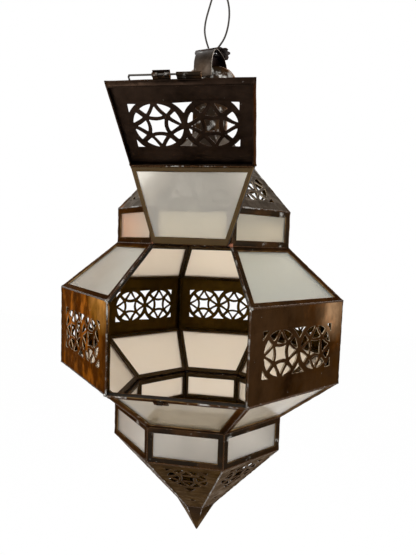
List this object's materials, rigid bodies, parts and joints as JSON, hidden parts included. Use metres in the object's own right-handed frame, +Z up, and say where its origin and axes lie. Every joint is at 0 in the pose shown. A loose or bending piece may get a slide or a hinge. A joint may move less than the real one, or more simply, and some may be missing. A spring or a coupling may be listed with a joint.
{
  "type": "octagonal pendant lantern",
  "caption": "Octagonal hanging lantern of pierced dark tin sheet and frosted glass panes, pointed at the foot, with a front door hinged at its top that stands open and a wire hanging loop.",
  "frame": {"origin": "underside of the top of the hanging loop, where a hook carries the lantern", "axes": "+Z up along the lantern's axis, the door at the front facing -Y, +X to the right of someone facing the door"},
  "size_m": [0.3138, 0.3377, 0.6742],
  "materials": {
    "frosted_glass": "frosted",
    "tinned_came": "dark patina with worn solder",
    "pierced_sheet": "dark bronze patina",
    "tinned_fittings": "dark patina",
    "iron_wire": "dull black iron",
    "copper_wire": "dull copper",
    "zinc_plated_steel": "zinc plated",
    "lampholder_plastic": "moulded black"
  },
  "bodies": {
    "lantern_body": {"cable_nipple": "zinc_plated_steel", "crown_rosette": "tinned_came", "crown_strap": "tinned_came", "dome_cap": "tinned_came", "drum_panel_2": "pierced_sheet", "drum_panel_3": "pierced_sheet", "drum_panel_4": "pierced_sheet", "drum_panel_5": "pierced_sheet", "drum_panel_6": "pierced_sheet", "drum_panel_7": "pierced_sheet", "drum_panel_8": "pierced_sheet", "hinge_leaves_drum": "tinned_fittings", "hinge_pin": "copper_wire", "lampholder_body": "lampholder_plastic", "lampholder_cap": "lampholder_plastic", "lower_drum_cames": "tinned_came", "lower_drum_panes": "frosted_glass", "lower_slope_cames": "tinned_came", "lower_slope_panes": "frosted_glass", "neck": "tinned_came", "nipple_nuts": "zinc_plated_steel", "roof_panel_1": "pierced_sheet", "roof_panel_2": "pierced_sheet", "roof_panel_3": "pierced_sheet", "roof_panel_4": "pierced_sheet", "roof_panel_5": "pierced_sheet", "roof_panel_6": "pierced_sheet", "roof_panel_7": "pierced_sheet", "roof_panel_8": "pierced_sheet", "shoulder_cames": "tinned_came", "shoulder_panes": "frosted_glass", "sill_keeper": "tinned_fittings", "tip_cap": "tinned_came", "tip_panel_1": "pierced_sheet", "tip_panel_2": "pierced_sheet", "tip_panel_3": "pierced_sheet", "tip_panel_4": "pierced_sheet", "tip_panel_5": "pierced_sheet", "tip_panel_6": "pierced_sheet", "tip_panel_7": "pierced_sheet", "tip_panel_8": "pierced_sheet", "upper_drum_cames": "tinned_came", "upper_drum_panes": "frosted_glass"},
    "door": {"door_came": "tinned_came", "door_pane": "frosted_glass", "door_panel": "pierced_sheet", "hinge_leaf_door": "tinned_fittings", "bolt_guides": "tinned_fittings"},
    "latch_bolt": {"latch_bolt": "iron_wire"},
    "hanging_loop": {"hanging_loop": "iron_wire"}
  },
  "joints": [
    {"name": "door_hinge", "type": "hinge", "parent": "lantern_body", "child": "door", "pos_m": [0, -0.10129, -0.29899], "axis": [-1, 0, 0], "range_deg": [-128.8, 6]},
    {"name": "bolt_slide", "type": "slide", "parent": "door", "child": "latch_bolt", "axis": [-1, 0, 0], "range_m": [0, 0.019]},
    {"name": "loop_swing", "type": "hinge", "parent": "lantern_body", "child": "hanging_loop", "pos_m": [0, 0, -0.073], "axis": [0.9759, -0.2181, 0], "range_deg": [-22, 22]}
  ]
}
